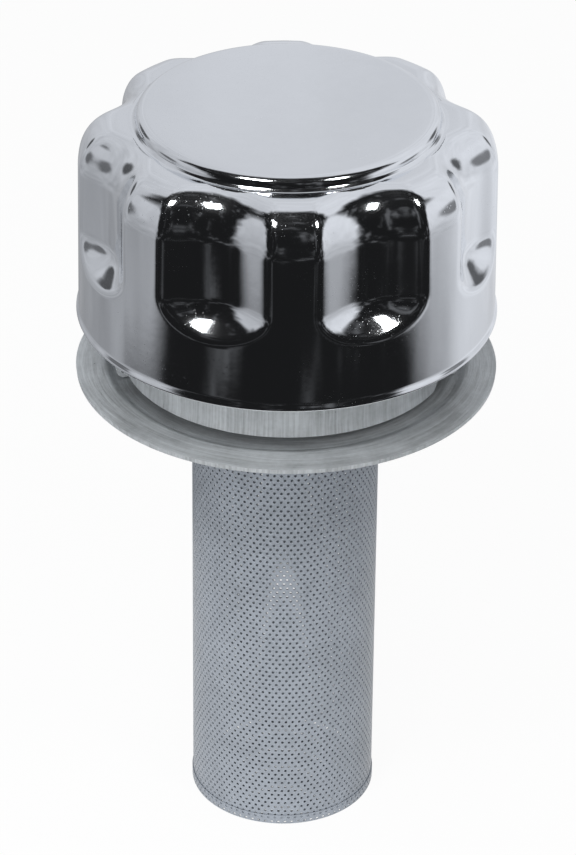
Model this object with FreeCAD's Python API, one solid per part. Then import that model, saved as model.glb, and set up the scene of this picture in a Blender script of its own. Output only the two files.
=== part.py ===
import FreeCAD, Part
import math
import os

# Breather vent cap for an oil tank, in millimetres.
# The origin is on the cap's axis, level with the underside of the flange floor, and +Z is up.
# Angles run from the front (-Y) towards +X.

Vec = FreeCAD.Vector
ORIGIN = Vec(0, 0, 0)
UP = Vec(0, 0, 1)

# Gaps between pieces
seat_gap = 0.05
bend_gap = 0.05
running_gap = 0.08
tight_corner = 0.02
stop_gap_angle = 1.0

# Basket
basket_radius = 18.6
basket_wall = 0.5
basket_bottom = 98.8
basket_top = 2.0
mesh_columns = 14
mesh_rows = 8
mesh_hole_radius = 1.7
mesh_plain_band = 5.0
floor_sheet = 0.5
floor_rim_height = 3.0
floor_hole_radius = 1.5
floor_hole_circles = 3
collar_sheet = 0.5
collar_bend = 1.5
collar_play = 0.8
collar_sleeve_length = 8.7
basket_gasket_height = 1.4
basket_gasket_inset = 0.4

# Mounting flange
flange_sheet = 0.9
brim_width = 5.8
brim_bend = 1.5
crest_width = 1.3
crest_height = 0.6
spigot_room = 0.45
spigot_length = 10.0

# Neck ring with its rolled rim and down-turned skirt
neck_sheet = 0.9
neck_foot_setback = 2.1
neck_foot_width = 4.4
neck_top = 14.5
rim_roll = 2.2
skirt_overhang = 4.9
skirt_bend = 3.0
skirt_flare = 0.3
skirt_flare_height = 1.6

# Bayonet notches and stops in the skirt
lug_centre_angle = 92.0
lug_half_angle = 12.0
notch_play_angle = 4.0
notch_lead_angle = 13.0
notch_lead_height = 3.6
notch_reach = 2.0
turn_angle = 90.0
stop_width_angle = 4.0
stop_drop = 1.2

# Bayonet yoke
yoke_sheet = 0.9
yoke_play = 1.0
yoke_bend = 3.0
lug_bend = 1.5
lug_tip_play = 0.4
lug_floor_play = 0.3
lug_skirt_play = 0.4
trough_play = 0.2

# Cap shell
cap_sheet = 0.9
cap_bottom = 13.4
wall_play = 1.1
wall_draft = 0.4
lip_swell = 0.45
lip_height = 1.6
roof_room = 8.05
shoulder_reach = 7.6
shoulder_rise = 9.3
flute_count = 8
flute_angle = 24.7
flute_depth = 4.2
flute_radius = 16.5
flute_blend = 5.0
flute_floor = 33.2
flute_end_rise = 8.0
flute_steps = (-0.5, -0.38, -0.31, -0.23, -0.1, 0.1, 0.23, 0.31, 0.38)
lip_steps = (0, 0.2, 0.45, 0.75, 1)
scoop_steps = 6
scoop_share = 0.8
shoulder_steps = 6
disc_steps = 2
disc_radius = 29.25
disc_rise = 2.45
disc_edge = 1.85
disc_fillet = 0.6
crest_rise = 0.1

# Stud, spacer, nuts and washer
stud_radius = 3.0
stud_head_radius = 10.0
stud_head_height = 1.2
spacer_wall = 2.0
nut_across_flats = 10.0
yoke_nut_height = 3.0
base_nut_height = 5.0
washer_radius = 7.0
washer_height = 1.1

# Filter cartridge
plate_sheet = 0.9
plate_bend = 1.35
base_overhang = 0.5
base_rim_drop = 1.6
base_bore_play = 0.6
cap_gasket_height = 2.45
cap_gasket_lap = 0.4
cap_gasket_play = 0.5
vent_hole_count = 6
vent_hole_radius = 3.0
filter_height = 18.1
end_ring_height = 1.5
end_ring_lap = 0.2
pleat_count = 36
pleat_margin = 0.8
pleat_setback = 2.1
pleat_band = 1.3
core_radius = 13.9
core_wall = 0.5
core_hole_radius = 2.0
core_hole_columns = 8
core_hole_rows = 3
lid_inset = 1.2
lid_rim_drop = 1.8
bush_wall = 1.72
bush_flange_width = 1.6
bush_flange_height = 1.2

# Spring
spring_radius = 8.0
spring_wire = 1.4
spring_turns = 4.0
spring_room = 8.1

# Tank gasket
tank_gasket_height = 1.6
tank_gasket_play = 1.2
tank_gasket_inset = 0.3

# Radii worked out from the sizes above, from the basket outwards
spigot_bore = basket_radius + bend_gap + collar_sheet + spigot_room
spigot_radius = spigot_bore + flange_sheet
neck_foot_bore = spigot_radius + neck_foot_setback
neck_bore = neck_foot_bore + neck_foot_width
skirt_radius = neck_bore + skirt_overhang
collar_radius = neck_bore - collar_play
notch_inner_radius = skirt_radius - neck_sheet - notch_reach
lug_tip_radius = notch_inner_radius + lug_tip_play
yoke_radius = skirt_radius + skirt_flare + yoke_play + yoke_sheet
trough_radius = yoke_radius + trough_play
crest_radius = trough_radius + crest_width
rim_radius = crest_radius + brim_width
wall_top_radius = yoke_radius + wall_play + cap_sheet + flute_depth
wall_foot_radius = wall_top_radius + wall_draft
cap_lip_radius = wall_foot_radius + lip_swell
base_radius = skirt_radius + base_overhang
cap_gasket_inner = neck_bore - cap_gasket_lap
cap_gasket_outer = base_radius - plate_sheet - cap_gasket_play
lid_radius = base_radius - lid_inset
pleat_outer = lid_radius - plate_sheet - pleat_margin
pleat_inner = core_radius + pleat_setback
vent_circle_radius = (washer_radius + core_radius - core_wall) / 2
bush_radius = stud_radius + running_gap + bush_wall

# Heights worked out from the sizes above, from the flange upwards
rim_top = flange_sheet
crest_top = rim_top + crest_height
lug_bottom = rim_top + lug_floor_play
skirt_bottom = lug_bottom + yoke_sheet + lug_skirt_play
neck_foot_top = rim_top + neck_sheet
collar_bottom = neck_foot_top + basket_gasket_height
collar_top = collar_bottom + collar_sheet
base_bottom = neck_top + seat_gap + cap_gasket_height
base_top = base_bottom + plate_sheet
lid_bottom = base_top + filter_height
lid_top = lid_bottom + plate_sheet
washer_bottom = base_bottom - washer_height
stud_bottom = washer_bottom - base_nut_height
yoke_bottom = lid_top + spring_room
yoke_top = yoke_bottom + yoke_sheet
shoulder_top = yoke_top + roof_room
disc_top = shoulder_top + disc_rise
inner_roof = disc_top - cap_sheet
stud_head_bottom = inner_roof - stud_head_height
lug_start_angle = lug_centre_angle - lug_half_angle
lug_end_angle = lug_centre_angle + lug_half_angle


def turned(shape, angle):
    """Return a copy of a shape turned about the cap's axis."""
    copy = shape.copy()
    copy.rotate(ORIGIN, UP, angle)
    return copy


def at_angle(radius, height, angle):
    """Point at a radius, height and angle from the front."""
    turn = math.radians(angle)
    return Vec(radius * math.sin(turn), -radius * math.cos(turn), height)


def save(name, shape):
    """Write one sub-part as parts/NAME.step."""
    shape.exportStep("parts/" + name + ".step")
    print(name, len(shape.Solids), round(shape.Volume, 1), shape.isValid())


def path_elements(points, bends, side):
    """Edges of a bent sheet's path, moved sideways by side; bends holds a radius for each corner."""
    corners = [Vec(r, 0, z) for r, z in points]
    edges = []
    start = None
    for index, corner in enumerate(corners):
        if index == 0:
            heading = (corners[1] - corner).normalize()
            start = corner + Vec(-heading.z, 0, heading.x) * side
            continue
        heading = (corner - corners[index - 1]).normalize()
        left = Vec(-heading.z, 0, heading.x)
        if index == len(corners) - 1:
            edges.append((start, None, corner + left * side))
            continue
        onward = (corners[index + 1] - corner).normalize()
        onward_left = Vec(-onward.z, 0, onward.x)
        bend = bends[index - 1]
        cut_back = bend * math.tan(heading.getAngle(onward) / 2)
        way = 1 if heading.x * onward.z - heading.z * onward.x > 0 else -1
        first = corner - heading * cut_back
        last = corner + onward * cut_back
        centre = first + left * (bend * way)
        middle = centre + (corner - centre).normalize() * (bend - side * way)
        edges.append((start, None, first + left * side))
        edges.append((first + left * side, middle, last + onward_left * side))
        start = last + onward_left * side
    return edges


def edge_of(element):
    """Line or arc edge of one path element."""
    begin, middle, end = element
    if middle is None:
        return Part.LineSegment(begin, end).toShape()
    return Part.Arc(begin, middle, end).toShape()


def sheet_section(points, bends, side_a, side_b):
    """Section of a bent sheet between two distances to the left of a path of (radius, height) points."""
    near = path_elements(points, bends, side_a)
    far = path_elements(points, bends, side_b)
    edges = [edge_of(element) for element in near]
    edges += [edge_of(element) for element in far]
    edges.append(Part.LineSegment(near[0][0], far[0][0]).toShape())
    edges.append(Part.LineSegment(near[-1][2], far[-1][2]).toShape())
    return Part.Face(Part.Wire(Part.__sortEdges__(edges)))


def spun(face, start=0.0, sweep=360.0):
    """Solid of revolution of a section about the axis, over angles from the front."""
    return turned(face, start - 90 if sweep < 360 else 0).revolve(ORIGIN, UP, sweep)


def ring(inner, outer, bottom, top):
    """Plain ring."""
    body = Part.makeCylinder(outer, top - bottom, Vec(0, 0, bottom))
    return body.cut(Part.makeCylinder(inner, top - bottom, Vec(0, 0, bottom)))


def sector(inner, outer, bottom, top, start, end):
    """Part of a ring between two angles."""
    wire = Part.makePolygon([Vec(inner, 0, bottom), Vec(outer, 0, bottom), Vec(outer, 0, top),
                             Vec(inner, 0, top), Vec(inner, 0, bottom)])
    return spun(Part.Face(wire), start, end - start)


def radial_holes(radius, hole_radius, columns, rows, bottom, top, depth):
    """Rods for staggered rows of round holes through a tube's wall."""
    rods = []
    pitch = (top - bottom) / rows
    for row in range(rows):
        height = bottom + pitch * (row + 0.5)
        for column in range(columns):
            angle = 360.0 / columns * (column + 0.5 * (row % 2))
            start = at_angle(radius - depth, height, angle)
            rods.append(Part.makeCylinder(hole_radius, 2 * depth, start, at_angle(1, 0, angle)))
    return Part.makeCompound(rods)


def hex_nut(bottom, height, bore):
    """Hexagon nut on the axis with chamfered corners."""
    corner = nut_across_flats / math.sqrt(3)
    points = [at_angle(corner, bottom, 60 * side) for side in range(7)]
    body = Part.Face(Part.makePolygon(points)).extrude(Vec(0, 0, height))
    bevel = corner - nut_across_flats / 2
    crown = Part.makeCylinder(corner, height, Vec(0, 0, bottom))
    crown = crown.makeChamfer(bevel, [edge for edge in crown.Edges if isinstance(edge.Curve, Part.Circle)])
    return body.common(crown).cut(Part.makeCylinder(bore, height, Vec(0, 0, bottom)))


# Mounting side

def mounting_flange():
    """Saucer-shaped pressing: brim, trough round the neck, floor and plain spigot."""
    points = [(rim_radius, rim_top), (crest_radius, crest_top), (trough_radius, rim_top),
              (spigot_bore, rim_top), (spigot_bore, -spigot_length)]
    bends = [brim_bend, brim_bend, flange_sheet + tight_corner]
    return spun(sheet_section(points, bends, 0, flange_sheet))


def notch_cutter(angle):
    """Space of one bayonet notch: the straight way down, with a sloping lead-in under the skirt."""
    start = angle - lug_half_angle - notch_play_angle
    end = angle + lug_half_angle + stop_gap_angle
    reach = skirt_radius + 2 * skirt_flare + neck_sheet
    way_down = sector(notch_inner_radius, reach, skirt_bottom - neck_sheet, neck_top + neck_sheet, start, end)
    length = skirt_radius * math.sin(math.radians(notch_lead_angle))
    low = skirt_bottom - neck_sheet
    slope = notch_lead_height / length
    outline = [Vec(0, 0, low), Vec(0, 0, skirt_bottom + notch_lead_height),
               Vec(length, 0, skirt_bottom), Vec(length + neck_sheet, 0, skirt_bottom - slope * neck_sheet),
               Vec(length + neck_sheet, 0, low), Vec(0, 0, low)]
    lead_in = Part.Face(Part.makePolygon(outline)).extrude(Vec(0, reach - notch_inner_radius + 2, 0))
    lead_in.translate(Vec(0, notch_inner_radius, 0))
    return way_down.fuse(turned(lead_in, start - 180))


def neck_ring():
    """Drawn neck with a welded foot, a rolled rim and a skirt that the bayonet lugs catch under."""
    points = [(neck_foot_bore, neck_foot_top), (neck_bore, neck_foot_top), (neck_bore, neck_top),
              (skirt_radius, neck_top), (skirt_radius, skirt_bottom + skirt_flare_height),
              (skirt_radius + skirt_flare, skirt_bottom)]
    bends = [neck_sheet, rim_roll, rim_roll, skirt_bend]
    ring_body = spun(sheet_section(points, bends, -neck_sheet, 0))
    for half in (0, 180):
        ring_body = ring_body.cut(notch_cutter(lug_centre_angle + half))
    rest_stop = lug_end_angle + stop_gap_angle
    turned_stop = lug_start_angle + 180 - turn_angle - stop_gap_angle - stop_width_angle
    for start in (rest_stop, turned_stop):
        stop = sector(skirt_radius - neck_sheet, skirt_radius, skirt_bottom - stop_drop,
                      skirt_bottom + skirt_flare_height, start, start + stop_width_angle)
        ring_body = ring_body.fuse(stop)
    return ring_body.removeSplitter()


def tank_gasket():
    """Flat gasket between the flange floor and the tank."""
    inner = spigot_radius + tank_gasket_play
    return ring(inner, trough_radius - tank_gasket_inset, -tank_gasket_height, 0)


# Basket

def basket_gasket():
    """Flat gasket under the basket's collar."""
    return ring(neck_foot_bore + basket_gasket_inset, collar_radius, neck_foot_top, collar_bottom)


def basket_collar():
    """Collar that rests in the neck, with a sleeve round the top of the basket."""
    bore = basket_radius + bend_gap
    points = [(collar_radius, collar_top), (bore, collar_top), (bore, collar_top - collar_sleeve_length)]
    return spun(sheet_section(points, [collar_bend], 0, collar_sheet))


def basket_tube():
    """Rolled tube of perforated sheet, here with wide-pitched holes."""
    low = floor_sheet - basket_bottom
    tube = ring(basket_radius - basket_wall, basket_radius, low, basket_top)
    top_hole = collar_top - collar_sleeve_length
    holes = radial_holes(basket_radius, mesh_hole_radius, mesh_columns, mesh_rows,
                         low + mesh_plain_band, top_hole, 2 * basket_wall)
    return tube.cut(holes)


def basket_floor():
    """Perforated bottom disc with a rim crimped round the tube."""
    outer = basket_radius + bend_gap + floor_sheet
    points = [(0, -basket_bottom), (outer, -basket_bottom), (outer, floor_rim_height - basket_bottom)]
    cup = spun(sheet_section(points, [floor_sheet + tight_corner], 0, floor_sheet))
    rods = [Part.makeCylinder(floor_hole_radius, 2 * floor_sheet, Vec(0, 0, -basket_bottom))]
    for circle in range(1, floor_hole_circles + 1):
        radius = (basket_radius - basket_wall) * circle / (floor_hole_circles + 0.5)
        for hole in range(6 * circle):
            place = at_angle(radius, -basket_bottom, 60.0 / circle * hole)
            rods.append(Part.makeCylinder(floor_hole_radius, 2 * floor_sheet, place))
    return cup.cut(Part.makeCompound(rods))


# Cap shell

def soft_least(first, second, blend):
    """Smaller of two lengths, rounded over where they are nearly the same."""
    share = max(blend - abs(first - second), 0) / blend
    return min(first, second) - share ** 3 * blend / 6


def plain_wall(height):
    """Wall radius between the flutes, with a little draft and a rolled lip at the bottom."""
    share = (height - cap_bottom) / (shoulder_top - shoulder_rise - cap_bottom)
    radius = wall_foot_radius + (wall_top_radius - wall_foot_radius) * share
    over = (height - cap_bottom - lip_height / 4) / (lip_height * 3 / 4)
    if height < cap_bottom + lip_height / 4:
        over = (cap_bottom + lip_height / 4 - height) / (lip_height / 2)
    if over < 1:
        radius += (cap_lip_radius - wall_foot_radius) * math.cos(math.pi / 2 * over) ** 2
    return radius


def fluted_wall(angle, height):
    """Wall radius at an angle from a flute's middle: a round-ended scoop blended into the wall."""
    wall = plain_wall(height)
    axis_distance = wall_top_radius - flute_depth + flute_radius
    drop = max(0.0, (flute_floor - height) / flute_end_rise)
    inside = flute_radius ** 2 * (1 - drop ** 2) - (axis_distance * math.sin(angle)) ** 2
    if drop >= 1 or inside <= 0:
        return wall
    scoop = axis_distance * math.cos(angle) - math.sqrt(inside)
    return soft_least(wall, scoop, flute_blend)


def shell_angles():
    """Angles of the shell's facet corners, closer together on the flutes' flanks."""
    pitch = 360.0 / flute_count
    return [(flute + share) * pitch for flute in range(flute_count) for share in flute_steps]


def wall_row(height, inset, limit):
    """Corners of the fluted wall level with a height, set in by a distance but not under a limit."""
    level = min(height, shoulder_top - shoulder_rise)
    pitch = 360.0 / flute_count
    row = []
    for angle in shell_angles():
        local = math.radians(abs((angle + pitch / 2) % pitch - pitch / 2))
        row.append(at_angle(max(fluted_wall(local, level) - inset, limit), height, angle + flute_angle))
    return row


def disc_row(radius, height):
    """Corners of a round row of the raised disc."""
    return [at_angle(radius, height, angle + flute_angle) for angle in shell_angles()]


def shell_rows(sheet):
    """Rows of corners up the shell's outer face, or up its inner face where sheet is its thickness."""
    flute_bottom = flute_floor - scoop_share * flute_end_rise
    levels = [cap_bottom + lip_height * share for share in lip_steps]
    for step in range(scoop_steps + 1):
        levels.append(flute_bottom + (flute_floor - flute_bottom) * step / scoop_steps)
    rows = [wall_row(level, sheet, 0) for level in levels]
    disc_side = disc_radius - sheet
    disc_foot = disc_radius + disc_fillet
    for step in range(shoulder_steps + 1):
        over = math.pi / 2 * step / shoulder_steps
        height = shoulder_top - shoulder_rise + (shoulder_rise - sheet) * math.sin(over)
        inset = sheet + (shoulder_reach - sheet) * (1 - math.cos(over))
        rows.append(wall_row(height, inset, disc_foot + disc_fillet))
    edge = disc_edge - sheet
    rows.append(disc_row(disc_foot, shoulder_top - sheet + crest_rise))
    for step in range(disc_steps + 1):
        over = math.pi / 2 * step / disc_steps
        radius = disc_side - edge * (1 - math.cos(over))
        rows.append(disc_row(radius, disc_top - sheet - edge * (1 - math.sin(over))))
    return rows


def cap_shell():
    """Deep-drawn fluted cap of one sheet, open below, in small flat facets."""
    outer = shell_rows(0)
    inner = shell_rows(cap_sheet)
    around = len(outer[0])
    corners = []
    facets = []

    def strip(lower, upper):
        for step in range(around):
            after = (step + 1) % around
            facets.append((lower + step, lower + after, upper + after))
            facets.append((lower + step, upper + after, upper + step))

    def roof(row, centre, upward):
        for step in range(around):
            after = (step + 1) % around
            facets.append((row + step, row + after, centre) if upward else (row + after, row + step, centre))

    loop = outer + inner[::-1]
    for row in loop:
        corners.extend(row)
    half = len(outer)
    for index in range(len(loop)):
        if index != half - 1:
            strip(index * around, (index + 1) % len(loop) * around)
    corners.append(Vec(0, 0, disc_top))
    corners.append(Vec(0, 0, disc_top - cap_sheet))
    roof((half - 1) * around, len(corners) - 2, True)
    roof(half * around, len(corners) - 1, False)
    skin = Part.Shape()
    skin.makeShapeFromMesh((corners, facets), 0.001)
    return Part.Solid(Part.Shell(skin.Faces))


# Bayonet and stud

def bayonet_yoke():
    """Bent strip over the cartridge: two legs down outside the skirt and two lugs that turn in under it."""
    points = [(stud_radius + 2 * bend_gap, yoke_top), (yoke_radius, yoke_top), (yoke_radius, lug_bottom),
              (lug_tip_radius, lug_bottom)]
    section = sheet_section(points, [yoke_bend, lug_bend], -yoke_sheet, 0)
    leg = spun(section, lug_start_angle, 2 * lug_half_angle)
    strip_reach = yoke_radius - yoke_bend
    width = 2 * (yoke_radius - yoke_sheet) * math.sin(math.radians(lug_half_angle))
    strip = Part.makeBox(2 * strip_reach, width, yoke_sheet, Vec(-strip_reach, -width / 2, yoke_bottom))
    strip = strip.common(Part.makeCylinder(strip_reach, yoke_sheet, Vec(0, 0, yoke_bottom)))
    yoke = turned(strip, lug_centre_angle - 90).fuse(leg).fuse(turned(leg, 180))
    below = Vec(0, 0, yoke_bottom - yoke_sheet / 2)
    bore = Part.makeCylinder(stud_radius + 2 * bend_gap, 2 * yoke_sheet, below)
    return yoke.cut(bore).removeSplitter()


def centre_stud():
    """Stud with a flat head welded under the cap's roof."""
    rod = Part.makeCylinder(stud_radius, stud_head_bottom - stud_bottom, Vec(0, 0, stud_bottom))
    tip = [edge for edge in rod.Edges if isinstance(edge.Curve, Part.Circle)
           and edge.Curve.Center.z < stud_bottom + 1]
    rod = rod.makeChamfer(stud_radius / 5, tip)
    return rod.fuse(Part.makeCylinder(stud_head_radius, stud_head_height, Vec(0, 0, stud_head_bottom)))


def stud_spacer():
    """Tube that holds the yoke down from the stud's head."""
    return ring(stud_radius + bend_gap, stud_radius + spacer_wall, yoke_top, stud_head_bottom)


def cartridge_spring():
    """Coil spring that presses the cartridge down on the neck."""
    half_wire = spring_wire / 2
    height = yoke_bottom - lid_top - spring_wire - 2 * seat_gap
    helix = Part.makeHelix(height / spring_turns, height, spring_radius)
    helix.translate(Vec(0, 0, lid_top + half_wire + seat_gap))
    begin = Vec(spring_radius, 0, lid_top + half_wire + seat_gap)
    wire = Part.Wire(Part.Circle(begin, Vec(0, 1, 0), half_wire).toShape())
    return Part.Wire(helix.Edges).makePipeShell([wire], True, True)


# Filter cartridge

def cartridge_base():
    """Bottom plate of the cartridge, with air holes and a turned-down rim round the cap gasket."""
    bore = stud_radius + base_bore_play
    points = [(bore, base_top), (base_radius, base_top), (base_radius, base_bottom - base_rim_drop)]
    plate = spun(sheet_section(points, [plate_bend], -plate_sheet, 0))
    for hole in range(vent_hole_count):
        place = at_angle(vent_circle_radius, base_bottom - plate_sheet, 360.0 / vent_hole_count * hole)
        plate = plate.cut(Part.makeCylinder(vent_hole_radius, 3 * plate_sheet, place))
    return plate


def cap_gasket():
    """Ring gasket that seals on the neck's rolled rim."""
    return ring(cap_gasket_inner, cap_gasket_outer, neck_top + seat_gap, base_bottom)


def filter_core():
    """Perforated inner tube of the filter."""
    tube = ring(core_radius - core_wall, core_radius, base_top, lid_bottom)
    holes = radial_holes(core_radius, core_hole_radius, core_hole_columns, core_hole_rows,
                         base_top + end_ring_height, lid_bottom - end_ring_height, 2 * core_wall)
    return tube.cut(holes)


def end_ring(bottom):
    """Moulded ring that holds one end of the pleats."""
    return ring(core_radius + bend_gap, pleat_outer + end_ring_lap, bottom, bottom + end_ring_height)


def filter_pleats():
    """Pleated paper between the two end rings."""
    bottom = base_top + end_ring_height
    height = filter_height - 2 * end_ring_height
    faces = []
    for inset in (0, pleat_band):
        points = []
        for fold in range(2 * pleat_count):
            radius = (pleat_outer if fold % 2 == 0 else pleat_inner) - inset
            points.append(at_angle(radius, bottom, 180.0 / pleat_count * fold))
        faces.append(Part.Face(Part.makePolygon(points + [points[0]])))
    return faces[0].cut(faces[1]).extrude(Vec(0, 0, height))


def cartridge_lid():
    """Top plate of the cartridge, closed but for the guide bush, with a turned-down rim."""
    bore = bush_radius + bend_gap
    points = [(bore, lid_top), (lid_radius, lid_top), (lid_radius, lid_bottom - lid_rim_drop)]
    return spun(sheet_section(points, [plate_bend], -plate_sheet, 0))


def guide_bush():
    """Flanged bush in the lid that slides on the stud."""
    sleeve = ring(stud_radius + running_gap, bush_radius, lid_bottom - 2 * plate_sheet, lid_top)
    flange_radius = bush_radius + bush_flange_width
    flange = ring(stud_radius + running_gap, flange_radius, lid_top, lid_top + bush_flange_height)
    return sleeve.fuse(flange).removeSplitter()


os.makedirs("parts", exist_ok=True)
save("mounting_flange", mounting_flange())
save("neck_ring", neck_ring())
save("tank_gasket", tank_gasket())
save("basket_gasket", basket_gasket())
save("basket_collar", basket_collar())
save("basket_tube", basket_tube())
save("basket_floor", basket_floor())
save("cap_shell", cap_shell())
save("bayonet_yoke", bayonet_yoke())
save("centre_stud", centre_stud())
save("stud_spacer", stud_spacer())
save("yoke_nut", hex_nut(yoke_bottom - yoke_nut_height, yoke_nut_height, stud_radius + bend_gap))
save("cartridge_spring", cartridge_spring())
save("base_washer", ring(stud_radius + bend_gap, washer_radius, washer_bottom, base_bottom))
save("base_nut", hex_nut(washer_bottom - base_nut_height, base_nut_height, stud_radius + bend_gap))
save("cartridge_base", cartridge_base())
save("cap_gasket", cap_gasket())
save("filter_core", filter_core())
save("lower_end_ring", end_ring(base_top))
save("upper_end_ring", end_ring(lid_bottom - end_ring_height))
save("filter_pleats", filter_pleats())
save("cartridge_lid", cartridge_lid())
save("guide_bush", guide_bush())
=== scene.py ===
import math

import bpy
from bpy.props import FloatProperty, FloatVectorProperty, IntProperty, PointerProperty
from mathutils import Matrix, Vector


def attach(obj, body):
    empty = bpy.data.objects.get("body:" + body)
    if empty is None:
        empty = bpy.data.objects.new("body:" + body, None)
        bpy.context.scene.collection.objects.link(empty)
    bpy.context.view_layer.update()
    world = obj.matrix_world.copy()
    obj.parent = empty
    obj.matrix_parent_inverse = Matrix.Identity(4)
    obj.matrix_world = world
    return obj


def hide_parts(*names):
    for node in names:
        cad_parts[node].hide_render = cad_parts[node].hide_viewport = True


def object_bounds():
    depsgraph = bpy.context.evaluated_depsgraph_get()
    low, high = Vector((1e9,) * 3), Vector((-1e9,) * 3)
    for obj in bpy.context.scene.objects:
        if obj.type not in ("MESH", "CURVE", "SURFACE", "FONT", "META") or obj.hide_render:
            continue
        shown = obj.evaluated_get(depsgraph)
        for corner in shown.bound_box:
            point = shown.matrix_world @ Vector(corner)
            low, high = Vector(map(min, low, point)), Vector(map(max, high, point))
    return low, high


bl_info = {
    "name": "Breather vent cap",
    "version": (1, 0, 0),
    "blender": (4, 5, 0),
    "location": "View3D > Sidebar > Vent cap",
    "description": "Builds the fluted cap, the basket, the finishes and the stage on the packed frame",
    "category": "Add Mesh",
}

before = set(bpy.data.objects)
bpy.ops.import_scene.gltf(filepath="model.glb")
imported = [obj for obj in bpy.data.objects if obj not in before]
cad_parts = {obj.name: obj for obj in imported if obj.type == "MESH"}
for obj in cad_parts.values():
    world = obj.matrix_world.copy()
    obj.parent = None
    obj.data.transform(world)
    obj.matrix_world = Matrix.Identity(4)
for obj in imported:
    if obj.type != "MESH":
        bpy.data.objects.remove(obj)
packed_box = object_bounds()

GASKET_NODES = ("tank_gasket", "basket_gasket", "cap_gasket")
ZINC_NODES = (
    "mounting_flange", "neck_ring", "basket_collar", "bayonet_yoke", "centre_stud", "stud_spacer",
    "yoke_nut", "base_washer", "base_nut", "cartridge_base", "cartridge_lid",
)
RESIN_NODES = ("lower_end_ring", "upper_end_ring")
MESH_NODES = ("basket_tube", "basket_floor", "filter_core")

# The cap's grid: points round it and up it, and where each part ends as a share of the rows, from the lip up
CAP_POINTS_ROUND = 577
CAP_POINTS_UP = 132
WALL_END, BEND_END, FOOT_END, SIDE_END, EDGE_END = 0.46, 0.72, 0.75, 0.79, 0.9
WALL_CROWDING = 1.5    # Above 1 it draws the wall's rows towards the lip

# Points of a mesh that are nearer than this become one, in metres
CAP_WELD = 0.000004
HOLE_WELD = 0.00002

# The basket. Its holed sheets are shown at a share of their thickness, so the holes stay open from the side
HOLE_SIDES = 8         # A cell's border has four corners and four middles, one for each side of its hole
SHOWN_SHARE = 0.5
CORNER = 0.0001        # Left open at the corner between the floor and the crimp round it
FLOOR_PITCH = 0.00136
FIELD_INSET = 0.0009   # From the crimp's corner in to the last hole
EDGE_INSET = 0.0002    # From the crimp's corner in to the floor's edge
LEAST_REACH = 0.0001   # Keeps a division off zero at the axis

# The finishes: a mark shows where its noise is above a level, and patches and flats begin and end softly
SCRATCH_LEVEL = 0.74
SPECK_LEVEL = 0.71
SPECK_PATCHES = (0.46, 0.62)
FLAT_FACING = (0.35, 0.75)
MIX_DARK, MIX_LIGHT, MIX_RESULT = 6, 7, 2    # The Mix node's colour sockets

# The stage
FLOOR_HALF = 4.0
FLOOR_WHITE = 0.94     # Share of plain white in the floor. The rest takes the object's soft shadow
TENT_MIDDLE = 0.03     # Height of the cap's middle, from which the tent's angles are counted
TENT_LIFT = 0.001      # From the floor up to the cloth
TENT_SIDES = 48
TENT_TINT = (0.965, 0.985, 1.03)
# The tent's cloth: where its parts meet, in degrees, and how bright they are
SIDE_EDGE, OVER_EDGE, UNDER_EDGE = (51, 63), (87, 99), (86, 100)
RISE_EDGE, LOW_EDGE, RIGHT_EDGE = (-50, 22), (0, 20), (86, 108)
DARK_CLOTH, DARK_GLEAM = 0.012, 0.12
PALE_CLOTH, PALE_RISE, PALE_LOW_RIGHT, PALE_ACROSS = 0.31, 0.42, 0.3, 0.2
RISE_WAVES, OVER_WAVES, SIDE_WAVES = 0.35, 0.25, 0.3
SEAM_SHADE, SEAM_GLEAM = 0.35, (0.03, 0.22)
# Gaps, dark on both sides of the tent: centre, where the edge starts and ends, waviness, darkest share
TENT_GAPS = (
    ((0.53, 0.42, 0.14), (0.07, 0.14), 0.1, 0.15),
    ((0.63, 0.04, 0.07), (0.06, 0.13), 0.08, 0.3),
)
# Name, place, aim, width, height, power, and whether reflections see it
LAMPS = (
    ("lamp_top", (-0.3, -0.1, 1.3), (0, 0, 0), 1.0, 0.8, 4.0, True),
    ("lamp_low", (-0.4, -1.15, 0.05), (0, 0, -0.03), 1.0, 0.5, 11.0, False),
    ("lamp_front", (-0.1, -1.0, 0.66), (0, 0, 0), 0.9, 0.5, 5.0, False),
    ("lamp_left", (-0.16, -0.28, 0.46), (0, 0, 0.02), 0.14, 0.1, 0.9, True),
    ("lamp_right", (0.24, -0.26, 0.42), (0, 0, 0.02), 0.08, 0.11, 0.6, True),
)
# The world's colour and strength: for plain light, for reflections past the tent, and for the camera
WORLD_PLAIN = ((0.80, 0.81, 0.83, 1.0), 0.35)
WORLD_MIRRORED = ((0.70, 0.725, 0.77, 1.0), 1.0)
WORLD_SEEN = ((1.0, 1.0, 1.0, 1.0), 1.0)


# Sizes and colours that a user would change


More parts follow.
